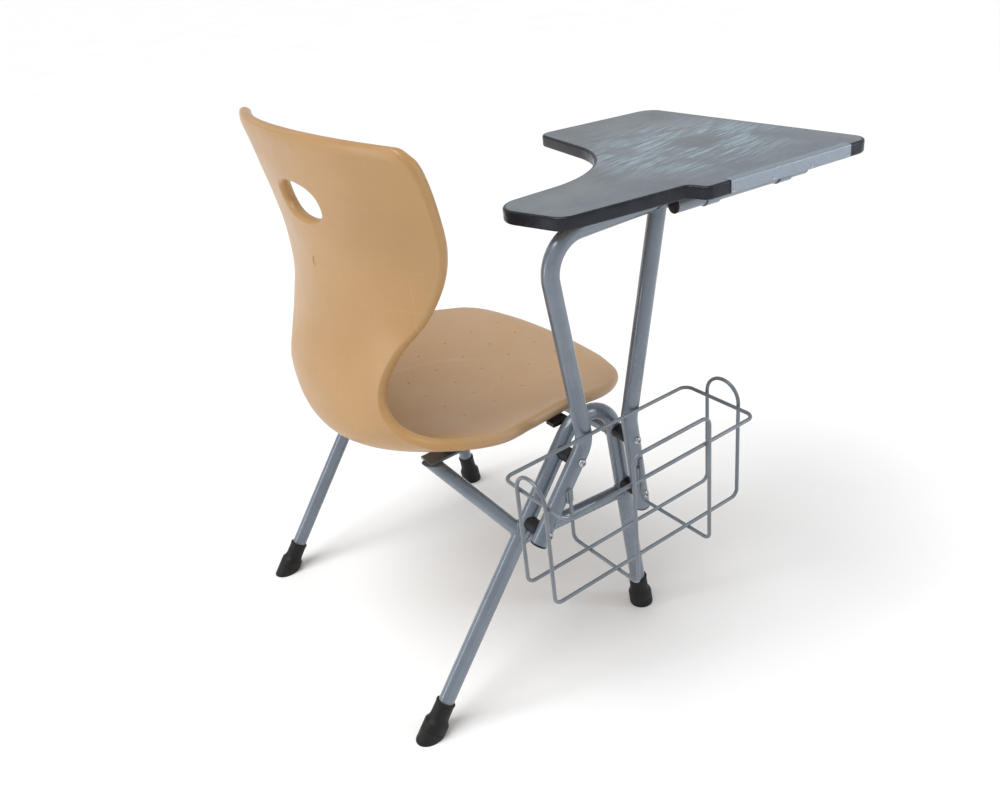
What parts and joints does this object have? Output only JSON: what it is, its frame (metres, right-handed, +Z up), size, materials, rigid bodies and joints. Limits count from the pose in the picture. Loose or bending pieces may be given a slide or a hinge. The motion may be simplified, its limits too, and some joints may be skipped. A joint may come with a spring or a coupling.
{
  "type": "student desk chair",
  "caption": "One-piece moulded shell chair on bent-tube side frames, with a flip-up writing tablet and a wire book basket at the sitter's right.",
  "frame": {"origin": "on the floor, midway between the four feet and under the middle of the seat shell", "axes": "+Z up, the sitter faces -Y, the sitter's right is -X, where the tablet and basket are"},
  "size_m": [0.7431, 0.7862, 0.872],
  "materials": {
    "shell": "satin moulded polypropylene with a fine stipple",
    "frame_paint": "semi-gloss silver-grey powder coat",
    "wire_paint": "semi-gloss grey powder coat on wire",
    "black_plastic": "satin black moulded plastic",
    "boot_rubber": "matt black rubber",
    "black_steel": "black zinc",
    "bright_steel": "bright zinc",
    "board": "raw particle board",
    "laminate": "dark grey laminate with pale scuffs",
    "cast_edge": "semi-gloss black cast polyurethane",
    "strip_aluminium": "satin anodised"
  },
  "bodies": {
    "chair": {"seat_shell": "shell", "side_frame_right": "frame_paint", "side_frame_left": "frame_paint", "stretcher_right": "frame_paint", "stretcher_left": "frame_paint", "brace_right": "frame_paint", "brace_left": "frame_paint", "cross_tube": "frame_paint", "seat_rail_right": "frame_paint", "seat_rail_left": "frame_paint", "seat_pads": "black_plastic", "seat_spacers": "black_plastic", "seat_screws": "black_steel", "boot_rear_right": "boot_rubber", "boot_rear_left": "boot_rubber", "boot_front_right": "boot_rubber", "boot_front_left": "boot_rubber", "support_rear": "frame_paint", "support_front": "frame_paint", "support_spacers": "black_plastic", "support_bolts": "bright_steel", "support_nuts": "bright_steel", "support_plugs": "black_plastic", "hinge_bar": "frame_paint", "hinge_lugs": "frame_paint", "hinge_bar_caps": "black_plastic", "basket_rim": "wire_paint", "basket_long_loop": "wire_paint", "basket_cross_loop": "wire_paint"},
    "tablet": {"tablet_board": "board", "tablet_laminate": "laminate", "tablet_edge": "cast_edge", "edge_strip": "strip_aluminium", "strip_screws": "bright_steel", "hinge_saddles": "bright_steel", "saddle_screws": "bright_steel"}
  },
  "joints": [
    {"name": "tablet_flip", "type": "hinge", "parent": "chair", "child": "tablet", "pos_m": [-0.34225, -0.23868, 0.7222], "axis": [-0.1184, -0.993, 0], "range_deg": [0, 100]}
  ]
}
